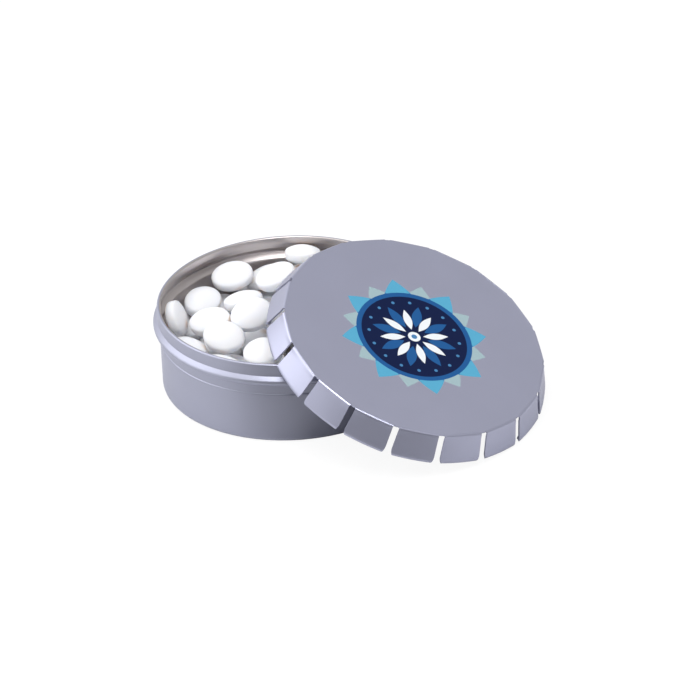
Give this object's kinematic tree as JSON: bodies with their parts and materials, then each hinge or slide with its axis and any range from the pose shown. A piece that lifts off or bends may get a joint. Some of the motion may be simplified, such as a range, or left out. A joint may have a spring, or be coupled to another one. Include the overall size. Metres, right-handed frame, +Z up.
{
  "type": "round click-lid mint tin",
  "caption": "Shallow round metal mint tin with its click-open lid of springy tabs leaning on the rim and oval white mints inside.",
  "frame": {"origin": "centre of the underside of the tin's base, on the table", "axes": "+Z up out of the tin's mouth, +X the way the open lid leans out"},
  "size_m": [0.0685, 0.0487, 0.0235],
  "materials": {
    "tin_metal": "satin, faintly bluish tinplate",
    "lid_metal": "satin, faintly bluish tinplate with a printed roundel",
    "mint": "matt pressed sugar"
  },
  "bodies": {
    "tin": {"tin_base": "tin_metal", "mints_bottom": "mint", "mints_middle": "mint", "mints_under_lid": "mint"},
    "lid": {"lid_border": "lid_metal"},
    "lid_panel": {"lid_panel": "lid_metal"},
    "loose_mints": {"mint_01": "mint", "mint_02": "mint", "mint_03": "mint", "mint_04": "mint", "mint_05": "mint", "mint_06": "mint", "mint_07": "mint", "mint_08": "mint", "mint_09": "mint", "mint_10": "mint", "mint_11": "mint", "mint_12": "mint", "mint_13": "mint", "mint_14": "mint"},
    "lid_tab_01": {"lid_tab_01": "lid_metal"},
    "lid_tab_02": {"lid_tab_02": "lid_metal"},
    "lid_tab_03": {"lid_tab_03": "lid_metal"},
    "lid_tab_04": {"lid_tab_04": "lid_metal"},
    "lid_tab_05": {"lid_tab_05": "lid_metal"},
    "lid_tab_06": {"lid_tab_06": "lid_metal"},
    "lid_tab_07": {"lid_tab_07": "lid_metal"},
    "lid_tab_08": {"lid_tab_08": "lid_metal"},
    "lid_tab_09": {"lid_tab_09": "lid_metal"},
    "lid_tab_10": {"lid_tab_10": "lid_metal"},
    "lid_tab_11": {"lid_tab_11": "lid_metal"},
    "lid_tab_12": {"lid_tab_12": "lid_metal"},
    "lid_tab_13": {"lid_tab_13": "lid_metal"},
    "lid_tab_14": {"lid_tab_14": "lid_metal"},
    "lid_tab_15": {"lid_tab_15": "lid_metal"},
    "lid_tab_16": {"lid_tab_16": "lid_metal"},
    "lid_tab_17": {"lid_tab_17": "lid_metal"},
    "lid_tab_18": {"lid_tab_18": "lid_metal"}
  },
  "joints": [
    {"name": "lid_lift", "type": "slide", "parent": "tin", "child": "lid", "axis": [0, 0, 1], "range_m": [0, 0.04]},
    {"name": "lid_click", "type": "slide", "parent": "lid", "child": "lid_panel", "axis": [0.4046, 0, 0.9145], "range_m": [0, 0.0008]},
    {"name": "lid_tab_01_bend", "type": "hinge", "parent": "lid", "child": "lid_tab_01", "pos_m": [0.04451, 0.00444, 0.00502], "axis": [-0.132, 0.9895, 0.0584], "range_deg": [0, 9]},
    {"name": "lid_tab_02_bend", "type": "hinge", "parent": "lid", "child": "lid_tab_02", "pos_m": [0.04231, 0.01174, 0.00599], "axis": [-0.4336, 0.8805, 0.1918], "range_deg": [0, 9]},
    {"name": "lid_tab_03_bend", "type": "hinge", "parent": "lid", "child": "lid_tab_03", "pos_m": [0.03795, 0.01777, 0.00792], "axis": [-0.6828, 0.6652, 0.3021], "range_deg": [0, 9]},
    {"name": "lid_tab_04_bend", "type": "hinge", "parent": "lid", "child": "lid_tab_04", "pos_m": [0.03196, 0.02181, 0.01057], "axis": [-0.8497, 0.3697, 0.3759], "range_deg": [0, 9]},
    {"name": "lid_tab_05_bend", "type": "hinge", "parent": "lid", "child": "lid_tab_05", "pos_m": [0.02508, 0.02337, 0.01361], "axis": [-0.9141, 0.0297, 0.4044], "range_deg": [0, 9]},
    {"name": "lid_tab_06_bend", "type": "hinge", "parent": "lid", "child": "lid_tab_06", "pos_m": [0.01812, 0.02226, 0.01669], "axis": [-0.8683, -0.314, 0.3841], "range_deg": [0, 9]},
    {"name": "lid_tab_07_bend", "type": "hinge", "parent": "lid", "child": "lid_tab_07", "pos_m": [0.01193, 0.01862, 0.01943], "axis": [-0.7177, -0.6198, 0.3175], "range_deg": [0, 9]},
    {"name": "lid_tab_08_bend", "type": "hinge", "parent": "lid", "child": "lid_tab_08", "pos_m": [0.00725, 0.01288, 0.0215], "axis": [-0.4805, -0.8508, 0.2126], "range_deg": [0, 9]},
    {"name": "lid_tab_09_bend", "type": "hinge", "parent": "lid", "child": "lid_tab_09", "pos_m": [0.00465, 0.00573, 0.02265], "axis": [-0.1854, -0.9792, 0.082], "range_deg": [0, 9]},
    {"name": "lid_tab_10_bend", "type": "hinge", "parent": "lid", "child": "lid_tab_10", "pos_m": [0.00444, -0.00196, 0.02275], "axis": [0.132, -0.9895, -0.0584], "range_deg": [0, 9]},
    {"name": "lid_tab_11_bend", "type": "hinge", "parent": "lid", "child": "lid_tab_11", "pos_m": [0.00665, -0.00926, 0.02177], "axis": [0.4336, -0.8805, -0.1918], "range_deg": [0, 9]},
    {"name": "lid_tab_12_bend", "type": "hinge", "parent": "lid", "child": "lid_tab_12", "pos_m": [0.01101, -0.01529, 0.01984], "axis": [0.6828, -0.6652, -0.3021], "range_deg": [0, 9]},
    {"name": "lid_tab_13_bend", "type": "hinge", "parent": "lid", "child": "lid_tab_13", "pos_m": [0.01699, -0.01933, 0.01719], "axis": [0.8497, -0.3697, -0.3759], "range_deg": [0, 9]},
    {"name": "lid_tab_14_bend", "type": "hinge", "parent": "lid", "child": "lid_tab_14", "pos_m": [0.02388, -0.02089, 0.01415], "axis": [0.9141, -0.0297, -0.4044], "range_deg": [0, 9]},
    {"name": "lid_tab_15_bend", "type": "hinge", "parent": "lid", "child": "lid_tab_15", "pos_m": [0.03084, -0.01978, 0.01107], "axis": [0.8683, 0.314, -0.3841], "range_deg": [0, 9]},
    {"name": "lid_tab_16_bend", "type": "hinge", "parent": "lid", "child": "lid_tab_16", "pos_m": [0.03703, -0.01614, 0.00833], "axis": [0.7177, 0.6198, -0.3175], "range_deg": [0, 9]},
    {"name": "lid_tab_17_bend", "type": "hinge", "parent": "lid", "child": "lid_tab_17", "pos_m": [0.04171, -0.0104, 0.00626], "axis": [0.4805, 0.8508, -0.2126], "range_deg": [0, 9]},
    {"name": "lid_tab_18_bend", "type": "hinge", "parent": "lid", "child": "lid_tab_18", "pos_m": [0.04431, -0.00325, 0.00511], "axis": [0.1854, 0.9792, -0.082], "range_deg": [0, 9]},
    {"name": "mints_lift", "type": "slide", "parent": "tin", "child": "loose_mints", "axis": [0, 0, 1], "range_m": [0, 0.03]}
  ],
  "couplings": [
    {"joint": "lid_tab_01_bend", "follows": "lid_click", "rad_per_m": 196.3},
    {"joint": "lid_tab_02_bend", "follows": "lid_click", "rad_per_m": 196.3},
    {"joint": "lid_tab_03_bend", "follows": "lid_click", "rad_per_m": 196.3},
    {"joint": "lid_tab_04_bend", "follows": "lid_click", "rad_per_m": 196.3},
    {"joint": "lid_tab_05_bend", "follows": "lid_click", "rad_per_m": 196.3},
    {"joint": "lid_tab_06_bend", "follows": "lid_click", "rad_per_m": 196.3},
    {"joint": "lid_tab_07_bend", "follows": "lid_click", "rad_per_m": 196.3},
    {"joint": "lid_tab_08_bend", "follows": "lid_click", "rad_per_m": 196.3},
    {"joint": "lid_tab_09_bend", "follows": "lid_click", "rad_per_m": 196.3},
    {"joint": "lid_tab_10_bend", "follows": "lid_click", "rad_per_m": 196.3},
    {"joint": "lid_tab_11_bend", "follows": "lid_click", "rad_per_m": 196.3},
    {"joint": "lid_tab_12_bend", "follows": "lid_click", "rad_per_m": 196.3},
    {"joint": "lid_tab_13_bend", "follows": "lid_click", "rad_per_m": 196.3},
    {"joint": "lid_tab_14_bend", "follows": "lid_click", "rad_per_m": 196.3},
    {"joint": "lid_tab_15_bend", "follows": "lid_click", "rad_per_m": 196.3},
    {"joint": "lid_tab_16_bend", "follows": "lid_click", "rad_per_m": 196.3},
    {"joint": "lid_tab_17_bend", "follows": "lid_click", "rad_per_m": 196.3},
    {"joint": "lid_tab_18_bend", "follows": "lid_click", "rad_per_m": 196.3}
  ]
}
